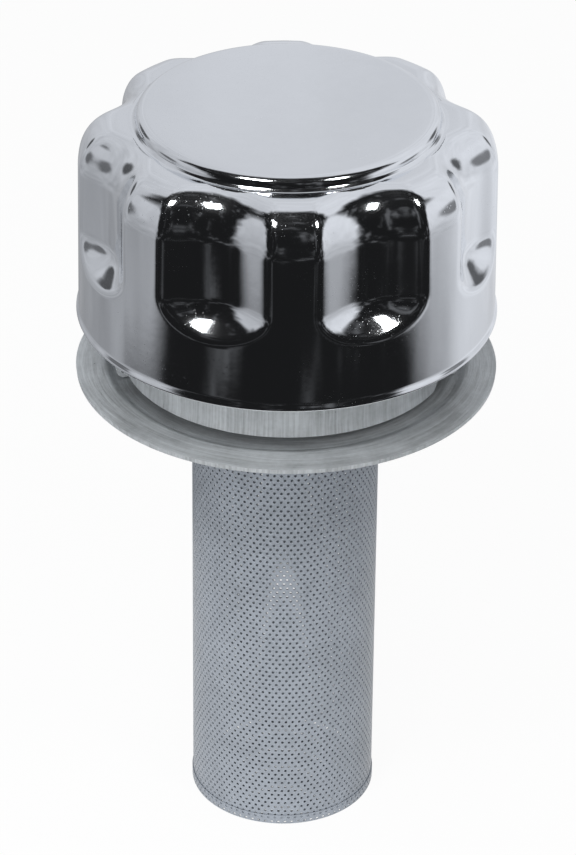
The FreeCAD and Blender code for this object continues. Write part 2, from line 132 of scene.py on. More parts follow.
class CapSizes(bpy.types.PropertyGroup):
    """The cap's sizes. Each name, with its underscores as spaces, is an input of the cap's tree"""
    lip_bottom: FloatProperty(name="Lip bottom", description="Height of the cap's lower edge",
                              default=0.0134, unit="LENGTH")
    lip_height: FloatProperty(name="Lip height", description="Height of the rolled lip",
                              default=0.0016, unit="LENGTH")
    lip_radius: FloatProperty(name="Lip radius", description="Radius of the rolled lip",
                              default=0.04115, unit="LENGTH")
    foot_radius: FloatProperty(name="Wall foot radius", description="Radius of the wall above the lip",
                               default=0.0407, unit="LENGTH")
    head_radius: FloatProperty(name="Wall head radius", description="Radius of the wall under the shoulder",
                               default=0.0403, unit="LENGTH")
    shoulder_start: FloatProperty(name="Shoulder start", description="Height where the shoulder begins",
                                  default=0.04465, unit="LENGTH")
    shoulder_rise: FloatProperty(name="Shoulder rise", description="Height of the shoulder's bend",
                                 default=0.0093, unit="LENGTH")
    shoulder_reach: FloatProperty(name="Shoulder reach", description="How far the shoulder comes in",
                                  default=0.0076, unit="LENGTH")
    flute_count: IntProperty(name="Flutes", description="Number of flutes round the wall", default=8, min=3)
    flute_angle: FloatProperty(name="First flute", description="Angle of the first flute from the front",
                               default=math.radians(24.7), subtype="ANGLE")
    flute_depth: FloatProperty(name="Flute depth", description="Depth of a flute at its middle",
                               default=0.0042, unit="LENGTH")
    flute_radius: FloatProperty(name="Flute radius", description="Radius of the round scoop",
                                default=0.0165, unit="LENGTH")
    flute_blend: FloatProperty(name="Flute blend", description="Width of the soft edge of a flute",
                               default=0.005, unit="LENGTH")
    flute_floor: FloatProperty(name="Flute floor", description="Height where a flute starts to run out",
                               default=0.0332, unit="LENGTH")
    flute_runout: FloatProperty(name="Flute runout", description="Height over which a flute runs out",
                                default=0.008, unit="LENGTH")
    disc_radius: FloatProperty(name="Disc radius", description="Radius of the raised disc",
                               default=0.02925, unit="LENGTH")
    disc_top: FloatProperty(name="Disc top", description="Height of the raised disc",
                            default=0.0564, unit="LENGTH")
    disc_edge: FloatProperty(name="Disc edge", description="Radius of the disc's rounded edge",
                             default=0.00185, unit="LENGTH")
    disc_foot: FloatProperty(name="Disc foot", description="Radius of the hollow at the disc's foot",
                             default=0.0006, unit="LENGTH")
    sheet: FloatProperty(name="Sheet", description="Thickness of the cap's sheet", default=0.0009,
                         unit="LENGTH")


class BasketSizes(bpy.types.PropertyGroup):
    """The basket's sizes"""
    columns: IntProperty(name="Columns", description="Holes round the basket", default=86, min=12)
    row_height: FloatProperty(name="Row height", description="Height of one row of holes",
                              default=0.00101, unit="LENGTH")
    hole_radius: FloatProperty(name="Hole radius", description="Radius of one hole", default=0.00028,
                               unit="LENGTH")
    radius: FloatProperty(name="Radius", description="Outer radius of the basket", default=0.0186,
                          unit="LENGTH")
    sheet: FloatProperty(name="Sheet", description="Thickness of the basket's sheet", default=0.0005,
                         unit="LENGTH")
    top: FloatProperty(name="Top", description="Height of the tube's upper edge", default=0.002,
                       unit="LENGTH")
    bottom: FloatProperty(name="Bottom", description="Height of the basket's bottom", default=-0.0988,
                          unit="LENGTH")
    crimp_radius: FloatProperty(name="Crimp radius", description="Outer radius of the crimped floor rim",
                                default=0.01878, unit="LENGTH")


class Finishes(bpy.types.PropertyGroup):
    """The colours of the finishes"""
    chrome: FloatVectorProperty(name="Chrome", description="Colour of the chrome plate",
                                default=(0.82, 0.84, 0.87), size=3, subtype="COLOR")
    zinc: FloatVectorProperty(name="Zinc", description="Colour of the dull zinc plate",
                              default=(0.47, 0.495, 0.512), size=3, subtype="COLOR")
    mesh: FloatVectorProperty(name="Basket steel", description="Colour of the perforated sheet",
                              default=(0.262, 0.288, 0.325), size=3, subtype="COLOR")
    rubber: FloatVectorProperty(name="Rubber", description="Colour of the gaskets",
                                default=(0.022, 0.022, 0.021), size=3, subtype="COLOR")
    paper: FloatVectorProperty(name="Filter paper", description="Colour of the pleats",
                               default=(0.72, 0.62, 0.40), size=3, subtype="COLOR")
    resin: FloatVectorProperty(name="End resin", description="Colour of the cast end rings",
                               default=(0.07, 0.10, 0.07), size=3, subtype="COLOR")
    brass: FloatVectorProperty(name="Brass", description="Colour of the guide bush",
                               default=(0.72, 0.52, 0.24), size=3, subtype="COLOR")
    spring: FloatVectorProperty(name="Spring steel", description="Colour of the spring",
                                default=(0.34, 0.35, 0.37), size=3, subtype="COLOR")


class StageSettings(bpy.types.PropertyGroup):
    """The camera"""
    camera_distance: FloatProperty(name="Camera distance", description="From the aim point to the camera",
                                   default=0.8375, unit="LENGTH")
    camera_elevation: FloatProperty(name="Camera elevation",
                                    description="Height of the camera over the horizon",
                                    default=math.radians(31.26), subtype="ANGLE")
    aim_height: FloatProperty(name="Aim height", description="Height of the point the camera looks at",
                              default=-0.0148, unit="LENGTH")
    lens: FloatProperty(name="Lens", description="Focal length for a 36 mm long side", default=177.05)
    roll: FloatProperty(name="Roll", description="Turn of the camera about its view",
                        default=math.radians(0.556), subtype="ANGLE")
    side_shift: FloatProperty(name="Side shift", description="Shift of the picture to the side",
                              default=0.00292)


# Formulas in node trees


class Amount:
    """A number inside a node tree. Sums on it add Math nodes, so that a rule reads as a formula."""

    def __init__(self, tree, socket):
        self.tree = tree
        self.socket = socket

    def __add__(self, other):
        return reckon(self.tree, "ADD", self, other)

    def __sub__(self, other):
        return reckon(self.tree, "SUBTRACT", self, other)

    def __rsub__(self, other):
        return reckon(self.tree, "SUBTRACT", other, self)

    def __mul__(self, other):
        return reckon(self.tree, "MULTIPLY", self, other)

    def __truediv__(self, other):
        return reckon(self.tree, "DIVIDE", self, other)

    def __pow__(self, other):
        return reckon(self.tree, "POWER", self, other)


def feed(tree, socket, value):
    """Links an Amount to a socket, or sets the socket to a plain number."""
    if isinstance(value, Amount):
        tree.links.new(value.socket, socket)
    else:
        socket.default_value = value


def reckon(tree, operation, *values):
    """Adds one Math node and returns its result."""
    node = tree.nodes.new("ShaderNodeMath")
    node.operation = operation
    for socket, value in zip(node.inputs, values):
        feed(tree, socket, value)
    return Amount(tree, node.outputs[0])


def reach_of(tree, *parts):
    """The length of a vector from its parts."""
    total = parts[0] ** 2
    for part in parts[1:]:
        total = total + part ** 2
    return reckon(tree, "SQRT", total)


def between(tree, value, lowest, highest):
    """The value, kept between two limits."""
    return reckon(tree, "MINIMUM", reckon(tree, "MAXIMUM", value, lowest), highest)


def stretch(tree, value, start, end):
    """0 before start, 1 after end, and even between them."""
    return between(tree, (value - start) / (end - start), 0.0, 1.0)


def soft_step(tree, value, start, end):
    """0 before start, 1 after end, and a soft S between them."""
    part = stretch(tree, value, start, end)
    return part * part * (3.0 - part * 2.0)


def step_in_degrees(tree, angle, start, end):
    """A soft step over an angle, with the limits in degrees."""
    return soft_step(tree, angle, math.radians(start), math.radians(end))


def as_vector(tree, x, y, z):
    node = tree.nodes.new("ShaderNodeCombineXYZ")
    for socket, value in zip(node.inputs, (x, y, z)):
        feed(tree, socket, value)
    return node.outputs[0]


def round_axis(tree, radius, turn, height):
    """The place at a radius, an angle from the front and a height."""
    return as_vector(tree, radius * reckon(tree, "SINE", turn), radius * reckon(tree, "COSINE", turn) * -1.0,
                     height)


def parts_of(tree, vector):
    node = tree.nodes.new("ShaderNodeSeparateXYZ")
    tree.links.new(vector, node.inputs[0])
    return [Amount(tree, socket) for socket in node.outputs]


# Geometry Nodes trees

COUNTS = ("Flute Count", "Columns", "Rows")
CAP_INPUTS = (
    "Lip Bottom", "Lip Height", "Lip Radius", "Foot Radius", "Head Radius", "Shoulder Start",
    "Shoulder Rise", "Shoulder Reach", "Flute Count", "Flute Angle", "Flute Depth", "Flute Radius",
    "Flute Blend", "Flute Floor", "Flute Runout", "Disc Radius", "Disc Top", "Disc Edge", "Disc Foot",
)
WALL_INPUTS = ("Columns", "Rows", "Row Height", "Hole Radius", "Sheet Radius", "Lowest Edge")
FLOOR_INPUTS = ("Pitch", "Row Height", "Hole Radius", "Field Radius", "Edge Radius", "Level")


def new_shape_tree(name, labels):
    """A Geometry Nodes tree with one output mesh and the named number inputs, as Amounts by name."""
    tree = bpy.data.node_groups.new(name, "GeometryNodeTree")
    tree.is_modifier = True
    tree.interface.new_socket("Geometry", in_out="OUTPUT", socket_type="NodeSocketGeometry")
    for label in labels:
        kind = "NodeSocketInt" if label in COUNTS else "NodeSocketFloat"
        tree.interface.new_socket(label, in_out="INPUT", socket_type=kind)
    tree.interface.new_socket("Finish", in_out="INPUT", socket_type="NodeSocketMaterial")
    start = tree.nodes.new("NodeGroupInput")
    amounts = {label: Amount(tree, start.outputs[label]) for label in labels}
    return tree, start, amounts


def end_shape_tree(tree, start, mesh, smooth=False):
    """Shades the mesh smooth or flat, realizes it, gives it the finish and ends the tree."""
    shading = tree.nodes.new("GeometryNodeSetShadeSmooth")
    real = tree.nodes.new("GeometryNodeRealizeInstances")
    finish = tree.nodes.new("GeometryNodeSetMaterial")
    end = tree.nodes.new("NodeGroupOutput")
    shading.inputs["Shade Smooth"].default_value = smooth
    tree.links.new(mesh, shading.inputs["Geometry"])
    tree.links.new(shading.outputs[0], real.inputs[0])
    tree.links.new(real.outputs[0], finish.inputs["Geometry"])
    tree.links.new(start.outputs["Finish"], finish.inputs["Material"])
    tree.links.new(finish.outputs[0], end.inputs[0])


def merged(tree, mesh, distance):
    node = tree.nodes.new("GeometryNodeMergeByDistance")
    tree.links.new(mesh, node.inputs["Geometry"])
    node.inputs["Distance"].default_value = distance
    return node.outputs[0]


def moved_to(tree, mesh, position):
    node = tree.nodes.new("GeometryNodeSetPosition")
    tree.links.new(mesh, node.inputs["Geometry"])
    tree.links.new(position, node.inputs["Position"])
    return node.outputs["Geometry"]


def grid(tree, length, width, across, along):
    node = tree.nodes.new("GeometryNodeMeshGrid")
    labels = ("Size X", "Size Y", "Vertices X", "Vertices Y")
    for label, value in zip(labels, (length, width, across, along)):
        feed(tree, node.inputs[label], value)
    return node.outputs["Mesh"]


def place_of(tree):
    return tree.nodes.new("GeometryNodeInputPosition").outputs[0]


def fluted_cap_tree():
    """The drawn cap as one grid: one way round it, the other from the lip over the shoulder to the disc."""
    tree, start, size = new_shape_tree("fluted_cap", CAP_INPUTS)
    across, up, _ = parts_of(tree, place_of(tree))
    turn = (across + 0.5) * math.tau
    level = up + 0.5
    wall_part = stretch(tree, level, 0.0, WALL_END) ** WALL_CROWDING
    bend_part = stretch(tree, level, WALL_END, BEND_END) * (math.pi / 2)
    foot_part = stretch(tree, level, BEND_END, FOOT_END)
    side_part = stretch(tree, level, FOOT_END, SIDE_END)
    edge_part = stretch(tree, level, SIDE_END, EDGE_END) * (math.pi / 2)
    top_part = stretch(tree, level, EDGE_END, 1.0)

    # The drafted wall, and the lip as a swelling of it that is widest a quarter of the way up the lip
    height = size["Lip Bottom"] + (size["Shoulder Start"] - size["Lip Bottom"]) * wall_part
    wall = size["Foot Radius"] + (size["Head Radius"] - size["Foot Radius"]) * wall_part
    above = height - size["Lip Bottom"] - size["Lip Height"] / 4
    over = reckon(tree, "MAXIMUM", above / (size["Lip Height"] * 0.75),
                  above * -1.0 / (size["Lip Height"] / 2))
    swell = reckon(tree, "COSINE", between(tree, over, 0.0, 1.0) * (math.pi / 2)) ** 2
    wall = wall + (size["Lip Radius"] - size["Foot Radius"]) * swell

    # Each flute is a round scoop, whose radius runs out to nothing below its floor
    step = reckon(tree, "DIVIDE", math.tau, size["Flute Count"])
    angle = reckon(tree, "WRAP", turn - size["Flute Angle"], step / 2, step / -2)
    axis = size["Head Radius"] - size["Flute Depth"] + size["Flute Radius"]
    drop = between(tree, (size["Flute Floor"] - height) / size["Flute Runout"], 0.0, 1.0)
    inside = size["Flute Radius"] ** 2 * (1.0 - drop ** 2) - (axis * reckon(tree, "SINE", angle)) ** 2
    scoop = axis * reckon(tree, "COSINE", angle) - reckon(tree, "SQRT", reckon(tree, "MAXIMUM", inside, 0.0))
    gap = reckon(tree, "ABSOLUTE", wall - scoop)
    share = reckon(tree, "MAXIMUM", size["Flute Blend"] - gap, 0.0) / size["Flute Blend"]
    soft = reckon(tree, "MINIMUM", wall, scoop) - share ** 3 * size["Flute Blend"] / 6
    scooped = reckon(tree, "GREATER_THAN", inside, 0.0)
    radius = wall + (soft - wall) * scooped

    # The shoulder bends in, and the disc's foot, side, edge and top follow it to the middle
    radius = radius - size["Shoulder Reach"] * (1.0 - reckon(tree, "COSINE", bend_part))
    foot = size["Disc Radius"] + size["Disc Foot"]
    radius = reckon(tree, "MAXIMUM", radius, foot + size["Disc Foot"])
    radius = radius + (foot - radius) * foot_part
    radius = radius + (size["Disc Radius"] - radius) * side_part
    radius = radius - size["Disc Edge"] * (1.0 - reckon(tree, "COSINE", edge_part))
    radius = radius * (1.0 - top_part)
    height = height + size["Shoulder Rise"] * reckon(tree, "SINE", bend_part)
    side_top = size["Disc Top"] - size["Disc Edge"]
    height = height + (side_top - height) * side_part
    height = height + size["Disc Edge"] * reckon(tree, "SINE", edge_part)

    sheet = grid(tree, 1.0, 1.0, CAP_POINTS_ROUND, CAP_POINTS_UP)
    shell = merged(tree, moved_to(tree, sheet, round_axis(tree, radius, turn, height)), CAP_WELD)
    end_shape_tree(tree, start, shell, smooth=True)
    return tree


def holed_cell(tree, hole_radius, half_width, half_height):
    """One flat cell of sheet with a round hole in it, from eight edges drawn out to the cell's border."""
    circle = tree.nodes.new("GeometryNodeMeshCircle")
    circle.inputs["Vertices"].default_value = HOLE_SIDES
    tree.links.new(hole_radius.socket, circle.inputs["Radius"])
    drawn = tree.nodes.new("GeometryNodeExtrudeMesh")
    drawn.mode = "EDGES"
    drawn.inputs["Offset Scale"].default_value = 0.0
    tree.links.new(circle.outputs["Mesh"], drawn.inputs["Mesh"])
    x, y, _ = parts_of(tree, place_of(tree))
    border = as_vector(tree, reckon(tree, "ROUND", x / hole_radius) * half_width,
                       reckon(tree, "ROUND", y / hole_radius) * half_height, 0.0)
    put = tree.nodes.new("GeometryNodeSetPosition")
    tree.links.new(drawn.outputs["Mesh"], put.inputs["Geometry"])
    tree.links.new(drawn.outputs["Top"], put.inputs["Selection"])
    tree.links.new(border, put.inputs["Position"])
    return put.outputs["Geometry"]


def laid_out(tree, points, cell):
    """A copy of the cell on every point."""
    node = tree.nodes.new("GeometryNodeInstanceOnPoints")
    tree.links.new(points, node.inputs["Points"])
    tree.links.new(cell, node.inputs["Instance"])
    real = tree.nodes.new("GeometryNodeRealizeInstances")
    tree.links.new(node.outputs[0], real.inputs[0])
    return real.outputs[0]


def staggered_points(tree, columns, rows, pitch, row_height):
    """Points in rows, with every second row moved along by half a pitch."""
    field = grid(tree, pitch * (columns - 1.0), row_height * (rows - 1.0), columns, rows)
    x, y, _ = parts_of(tree, place_of(tree))
    row = reckon(tree, "ROUND", y / row_height + (rows - 1.0) / 2)
    odd = reckon(tree, "FLOORED_MODULO", row, 2.0)
    return moved_to(tree, field, as_vector(tree, x + odd * pitch / 2, y, 0.0))


def perforated_wall_tree():
    """Rows of holed cells, wrapped round the basket."""
    tree, start, size = new_shape_tree("perforated_wall", WALL_INPUTS)
    pitch = size["Sheet Radius"] * math.tau / size["Columns"]
    cell = holed_cell(tree, size["Hole Radius"], pitch / 2, size["Row Height"] / 2)
    points = staggered_points(tree, size["Columns"], size["Rows"], pitch, size["Row Height"])
    sheet = laid_out(tree, points, cell)
    x, y, _ = parts_of(tree, place_of(tree))
    turn = x / size["Sheet Radius"]
    height = y + size["Row Height"] * size["Rows"] / 2 + size["Lowest Edge"]
    wrapped = moved_to(tree, sheet, round_axis(tree, size["Sheet Radius"], turn, height))
    end_shape_tree(tree, start, merged(tree, wrapped, HOLE_WELD))
    return tree


def perforated_floor_tree():
    """A flat field of holed cells, cut to a round outline. What is past the edge is pulled in to it."""
    tree, start, size = new_shape_tree("perforated_floor", FLOOR_INPUTS)
    cell = holed_cell(tree, size["Hole Radius"], size["Pitch"] / 2, size["Row Height"] / 2)
    columns = reckon(tree, "CEIL", size["Field Radius"] * 2.0 / size["Pitch"]) + 1.0
    rows = reckon(tree, "CEIL", size["Field Radius"] * 2.0 / size["Row Height"]) + 1.0
    points = staggered_points(tree, columns, rows, size["Pitch"], size["Row Height"])
    x, y, _ = parts_of(tree, place_of(tree))
    outside = reckon(tree, "GREATER_THAN", reach_of(tree, x, y), size["Field Radius"])
    cut = tree.nodes.new("GeometryNodeDeleteGeometry")
    tree.links.new(points, cut.inputs["Geometry"])
    tree.links.new(outside.socket, cut.inputs["Selection"])
    sheet = merged(tree, laid_out(tree, cut.outputs[0], cell), HOLE_WELD)
    x, y, _ = parts_of(tree, place_of(tree))
    reach = reckon(tree, "MAXIMUM", reach_of(tree, x, y), LEAST_REACH)
    held = reckon(tree, "MINIMUM", size["Edge Radius"] / reach, 1.0)
    flat = moved_to(tree, sheet, as_vector(tree, x * held, y * held * -1.0, size["Level"]))
    end_shape_tree(tree, start, flat)
    return tree


def built(name, tree, values, finish, thickness=0.0, body="neck"):
    """Runs a tree on an empty mesh, gives it a wall, and returns the plain mesh as an object on its body."""
    holder = bpy.data.objects.new(name + "_holder", bpy.data.meshes.new(name + "_holder"))
    bpy.context.scene.collection.objects.link(holder)
    shape = holder.modifiers.new("shape", "NODES")
    shape.node_group = tree
    for item in tree.interface.items_tree:
        if item.in_out == "INPUT" and item.name == "Finish":
            shape[item.identifier] = finish
        elif item.in_out == "INPUT" and item.name in values:
            shape[item.identifier] = values[item.name]
    if thickness:
        wall = holder.modifiers.new("wall", "SOLIDIFY")
        wall.thickness = thickness
        wall.offset = -1.0
    depsgraph = bpy.context.evaluated_depsgraph_get()
    mesh = bpy.data.meshes.new_from_object(holder.evaluated_get(depsgraph), depsgraph=depsgraph)
    bpy.data.objects.remove(holder)
    if not mesh.polygons:
        raise RuntimeError(name + " came out empty")
    mesh.name = name
    piece = bpy.data.objects.new(name, mesh)
    bpy.context.scene.collection.objects.link(piece)
    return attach(piece, body)


# Shader groups


def new_effect(name, **inputs):
    """A shader node group with a mask as its output, and number inputs with their values when not set."""
    tree = bpy.data.node_groups.new(name, "ShaderNodeTree")
    for label, value in inputs.items():
        socket = tree.interface.new_socket(label, in_out="INPUT", socket_type="NodeSocketFloat")
        socket.default_value = value
    tree.interface.new_socket("Mask", in_out="OUTPUT", socket_type="NodeSocketFloat")
    start = tree.nodes.new("NodeGroupInput")
    return tree, {label: Amount(tree, start.outputs[label]) for label in inputs}


def end_effect(tree, mask):
    """Ends a shader group with its mask."""
    end = tree.nodes.new("NodeGroupOutput")
    tree.links.new(mask.socket, end.inputs["Mask"])


def contrasted(tree, value, contrast, middle=0.5):
    """Spreads a value about its middle and keeps it from 0 to 1."""
    return between(tree, (value - middle) * contrast + 0.5, 0.0, 1.0)


def object_place(tree):
    return tree.nodes.new("ShaderNodeTexCoord").outputs["Object"]


def noise(tree, vector, scale, detail=3.0, roughness=0.5):
    node = tree.nodes.new("ShaderNodeTexNoise")
    tree.links.new(vector, node.inputs["Vector"])
    feed(tree, node.inputs["Scale"], scale)
    node.inputs["Detail"].default_value = detail
    node.inputs["Roughness"].default_value = roughness
    return Amount(tree, node.outputs[0])


def mottle_effect():
    """Cloudy patches of two sizes, as on dull plating and handled metal."""
    tree, size = new_effect("mottle", Scale=120.0, Contrast=1.0)
    place = object_place(tree)
    broad = noise(tree, place, size["Scale"], 4.0, 0.6)
    fine = noise(tree, place, size["Scale"] * 7.0, 2.0, 0.5)
    end_effect(tree, contrasted(tree, broad * 0.7 + fine * 0.3, size["Contrast"]))


def drawn_lines_effect():
    """Fine lines down a round wall, left by the drawing tool, and rings on the flat round it."""
    tree, size = new_effect("drawn_lines", Lines=90.0, Contrast=1.0)
    x, y, z = parts_of(tree, object_place(tree))
    reach = reach_of(tree, x, y)
    held = reckon(tree, "MAXIMUM", reach, 0.001)
    across, deep = x / held, y / held
    down = as_vector(tree, across * size["Lines"], deep * size["Lines"], z * 60.0)
    around = as_vector(tree, across * 2.5, deep * 2.5, reach * 1400.0)
    lines, rings = (noise(tree, vector, 1.0, 4.0, 0.7) for vector in (down, around))
    facing = parts_of(tree, tree.nodes.new("ShaderNodeTexCoord").outputs["Normal"])[2]
    flat = soft_step(tree, reckon(tree, "ABSOLUTE", facing), *FLAT_FACING)
    end_effect(tree, contrasted(tree, lines + (rings - lines) * flat, size["Contrast"]))


def scratches_effect():
    """Short faint scratches in two directions."""
    tree, size = new_effect("scratches", Scale=400.0, Amount=0.3)
    x, y, z = parts_of(tree, object_place(tree))
    one = noise(tree, as_vector(tree, x + y, (x - y) * 14.0, z * 5.0), size["Scale"], 2.0, 0.6)
    two = noise(tree, as_vector(tree, (x - y) * 1.3, (x + y) * 17.0, z * 4.0), size["Scale"], 2.0, 0.6)
    thin = reckon(tree, "GREATER_THAN", reckon(tree, "MAXIMUM", one, two), SCRATCH_LEVEL)
    end_effect(tree, thin * size["Amount"])


def specks_effect():
    """Sparse fine pits and dust."""
    tree, size = new_effect("specks", Scale=1500.0, Amount=0.5)
    place = object_place(tree)
    spots = reckon(tree, "GREATER_THAN", noise(tree, place, size["Scale"], 1.0, 0.5), SPECK_LEVEL)
    where = soft_step(tree, noise(tree, place, 70.0, 3.0, 0.5), *SPECK_PATCHES)
    end_effect(tree, spots * where * size["Amount"])


def grain_effect():
    """An even fine grain, for perforated sheet, rubber and cast resin."""
    tree, size = new_effect("grain", Scale=2500.0, Contrast=1.0)
    even = noise(tree, object_place(tree), size["Scale"], 3.0, 0.6)
    end_effect(tree, contrasted(tree, even, size["Contrast"]))


def fibre_effect():
    """Long felted fibres that run in every direction, for filter paper."""
    tree, size = new_effect("fibres", Scale=600.0, Contrast=1.5)
    x, y, z = parts_of(tree, object_place(tree))
    one = noise(tree, as_vector(tree, x * 3.0, y * 3.0, z * 0.5), size["Scale"], 3.0, 0.7)
    two = noise(tree, as_vector(tree, x * 0.6, y * 0.6, z * 3.0), size["Scale"], 3.0, 0.7)
    end_effect(tree, contrasted(tree, reckon(tree, "MAXIMUM", one, two), size["Contrast"], middle=0.55))


# Materials


class Finish:
    """One Principled material and the effects that feed it."""

    def __init__(self, name, **constants):
        self.material = bpy.data.materials.new(name + "_finish")
        self.material.use_nodes = True
        self.tree = self.material.node_tree
        self.surface = self.tree.nodes["Principled BSDF"]
        for label, value in constants.items():
            self.surface.inputs[label.replace("_", " ")].default_value = value

    def effect(self, group, **values):
        node = self.tree.nodes.new("ShaderNodeGroup")
        node.node_tree = bpy.data.node_groups[group]
        for label, value in values.items():
            node.inputs[label].default_value = value
        return Amount(self.tree, node.outputs["Mask"])

    def colour(self, mask, dark, light):
        """Runs from the dark colour to the light one as the mask goes from 0 to 1."""
        node = self.tree.nodes.new("ShaderNodeMix")
        node.data_type = "RGBA"
        node.inputs[MIX_DARK].default_value = (*dark, 1.0)
        node.inputs[MIX_LIGHT].default_value = (*light, 1.0)
        self.tree.links.new(mask.socket, node.inputs[0])
        self.tree.links.new(node.outputs[MIX_RESULT], self.surface.inputs["Base Color"])

    def number(self, amount, place):
        self.tree.links.new(amount.socket, self.surface.inputs[place])

    def bump(self, height, strength, distance):
        node = self.tree.nodes.new("ShaderNodeBump")
        node.inputs["Strength"].default_value = strength
        node.inputs["Distance"].default_value = distance
        self.tree.links.new(height.socket, node.inputs["Height"])
        self.tree.links.new(node.outputs[0], self.surface.inputs["Normal"])


def shade(colour, share):
    return tuple(part * share for part in colour)


def chrome_plate(finishes):
    finish = Finish("chrome_plate", Metallic=1.0)
    haze = finish.effect("mottle", Scale=55.0, Contrast=1.6)
    marks = finish.effect("scratches", Scale=260.0, Amount=0.16)
    specks = finish.effect("specks", Scale=2500.0, Amount=0.3)
    finish.colour(haze, shade(finishes.chrome, 0.95), finishes.chrome)
    finish.number(haze * 0.05 + marks * 0.4 + specks * 0.8 + 0.06, "Roughness")
    finish.bump(haze + marks * 0.4 + specks, 0.05, 0.0004)
    return finish.material


def zinc_steel(finishes):
    finish = Finish("zinc_steel", Metallic=0.45)
    cloud = finish.effect("mottle", Scale=150.0, Contrast=2.2)
    lines = finish.effect("drawn_lines", Lines=70.0, Contrast=3.2)
    finish.colour(cloud * 0.5 + lines * 0.5, shade(finishes.zinc, 0.62), shade(finishes.zinc, 1.38))
    finish.number(cloud * 0.16 + lines * 0.16 + 0.24, "Roughness")
    finish.bump(lines * 0.6 + cloud * 0.4, 0.28, 0.0003)
    return finish.material


def basket_steel(finishes):
    finish = Finish("mesh_steel", Metallic=0.25)
    cloud = finish.effect("mottle", Scale=90.0, Contrast=1.8)
    burr = finish.effect("grain", Scale=1400.0, Contrast=2.4)
    finish.colour(cloud * 0.7 + burr * 0.3, shade(finishes.mesh, 0.75), shade(finishes.mesh, 1.25))
    finish.number(burr * 0.2 + 0.24, "Roughness")
    finish.bump(burr, 0.35, 0.0002)
    return finish.material


def spring_steel(finishes):
    finish = Finish("spring_steel", Metallic=1.0)
    cloud = finish.effect("mottle", Scale=300.0, Contrast=1.6)
    finish.colour(cloud, shade(finishes.spring, 0.7), shade(finishes.spring, 1.2))
    finish.number(cloud * 0.15 + 0.25, "Roughness")
    finish.bump(cloud, 0.1, 0.0002)
    return finish.material


def gasket_rubber(finishes):
    finish = Finish("gasket_rubber", Specular_IOR_Level=0.35)
    grain = finish.effect("grain", Scale=1800.0, Contrast=2.0)
    bloom = finish.effect("mottle", Scale=110.0, Contrast=1.5)
    finish.colour(bloom, finishes.rubber, shade(finishes.rubber, 1.9))
    finish.number(grain * 0.2 + 0.55, "Roughness")
    finish.bump(grain, 0.3, 0.0002)
    return finish.material


def filter_paper(finishes):
    finish = Finish("filter_paper", Roughness=0.85, Specular_IOR_Level=0.25)
    fibres = finish.effect("fibres", Scale=900.0, Contrast=2.0)
    finish.colour(fibres, shade(finishes.paper, 0.82), finishes.paper)
    finish.bump(fibres, 0.4, 0.0002)
    return finish.material


def end_resin(finishes):
    finish = Finish("end_resin")
    grain = finish.effect("grain", Scale=900.0, Contrast=1.6)
    flow = finish.effect("mottle", Scale=60.0, Contrast=1.5)
    finish.colour(flow, finishes.resin, shade(finishes.resin, 1.5))
    finish.number(grain * 0.15 + 0.35, "Roughness")
    finish.bump(grain, 0.15, 0.0002)
    return finish.material


def bush_brass(finishes):
    finish = Finish("bush_brass", Metallic=1.0)
    cloud = finish.effect("mottle", Scale=320.0, Contrast=1.6)
    finish.colour(cloud, shade(finishes.brass, 0.78), finishes.brass)
    finish.number(cloud * 0.12 + 0.22, "Roughness")
    finish.bump(cloud, 0.1, 0.0002)
    return finish.material


def wear(node_name, material):
    """Puts a finish on a CAD node's object."""
    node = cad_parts[node_name]
    if not node.material_slots:
        node.data.materials.append(material)
    for place in node.material_slots:
        place.material = material


# Operators


class VENTCAP_OT_effects(bpy.types.Operator):
    """Builds the surface effects that the finishes share"""
    bl_idname = "ventcap.effects"
    bl_label = "Surface effects"

    def execute(self, context):
        for build in (mottle_effect, drawn_lines_effect, scratches_effect, specks_effect, grain_effect,
                      fibre_effect):
            build()
        return {"FINISHED"}


class VENTCAP_OT_finishes(bpy.types.Operator):
    """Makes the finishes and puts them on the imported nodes"""
    bl_idname = "ventcap.finishes"
    bl_label = "Finishes"

    def execute(self, context):
        finishes = context.scene.ventcap_finishes
        zinc = zinc_steel(finishes)
        chrome = chrome_plate(finishes)
        mesh = basket_steel(finishes)
        rubber = gasket_rubber(finishes)
        resin = end_resin(finishes)
        for names, material in ((ZINC_NODES, zinc), (GASKET_NODES, rubber), (RESIN_NODES, resin),
                                (MESH_NODES, mesh)):
            for name in names:
                wear(name, material)
        wear("cap_shell", chrome)
        wear("cartridge_spring", spring_steel(finishes))
        wear("filter_pleats", filter_paper(finishes))
        wear("guide_bush", bush_brass(finishes))
        return {"FINISHED"}


class VENTCAP_OT_cap(bpy.types.Operator):
    """Draws the fluted cap, with its lip, shoulder and raised disc"""
    bl_idname = "ventcap.cap"
    bl_label = "Fluted cap"

    def execute(self, context):
        cap = context.scene.ventcap_cap
        values = {label: getattr(cap, label.lower().replace(" ", "_")) for label in CAP_INPUTS}
        shell = built("fluted_cap", fluted_cap_tree(), values, bpy.data.materials["chrome_plate_finish"],
                      thickness=cap.sheet, body="cap")
        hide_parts("cap_shell")
        return {"FINISHED"}


